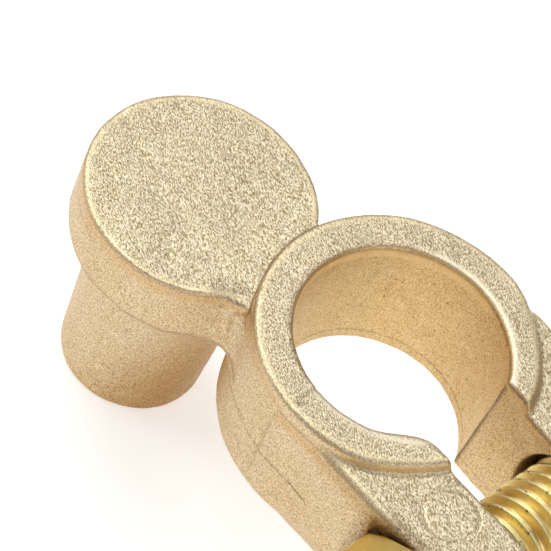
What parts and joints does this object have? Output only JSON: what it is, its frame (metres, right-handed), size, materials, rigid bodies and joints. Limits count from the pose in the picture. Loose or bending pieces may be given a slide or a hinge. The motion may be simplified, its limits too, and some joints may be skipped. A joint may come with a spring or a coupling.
{
  "type": "ground clamp",
  "caption": "Cast brass split-ring terminal clamp with an offset tapered stub post, shut by a hexagon bolt through its lugs.",
  "frame": {"origin": "on the axis of the clamp bore, at the rim face where the bore is widest", "axes": "+Z along the bore axis, out of its wide mouth, which is the face that goes down over a terminal post in use; +X from the stub post to the ring; the slit runs 12 degrees clockwise of +X"},
  "size_m": [0.0541, 0.0413, 0.0235],
  "materials": {
    "cast_brass": "sandblasted cast brass, bright grain on the top faces and smoother matte walls",
    "turned_brass": "polished yellow brass",
    "washer_bronze": "dull spring bronze"
  },
  "bodies": {
    "body": {"clamp_body": "cast_brass", "clamp_bolt": "turned_brass"},
    "jaw": {"clamp_jaw": "cast_brass"},
    "washer": {"spring_washer": "washer_bronze"},
    "nut": {"hex_nut": "turned_brass"}
  },
  "joints": [
    {"name": "nut_travel", "type": "slide", "parent": "body", "child": "washer", "axis": [-0.2079, -0.9781, 0], "range_m": [0, 0.0012]},
    {"name": "nut_turn", "type": "hinge", "parent": "washer", "child": "nut", "pos_m": [0.01565, -0.00333, -0.0061], "axis": [0.2079, 0.9781, 0], "range_deg": [0, 346]},
    {"name": "jaw_flex", "type": "hinge", "parent": "body", "child": "jaw", "pos_m": [-0.00673, 0.00722, -0.00575], "axis": [0, 0, -1], "range_deg": [0, 2.9]}
  ],
  "couplings": [
    {"joint": "nut_turn", "follows": "nut_travel", "rad_per_m": 5026.5},
    {"joint": "jaw_flex", "follows": "nut_travel", "rad_per_m": 41.52}
  ]
}
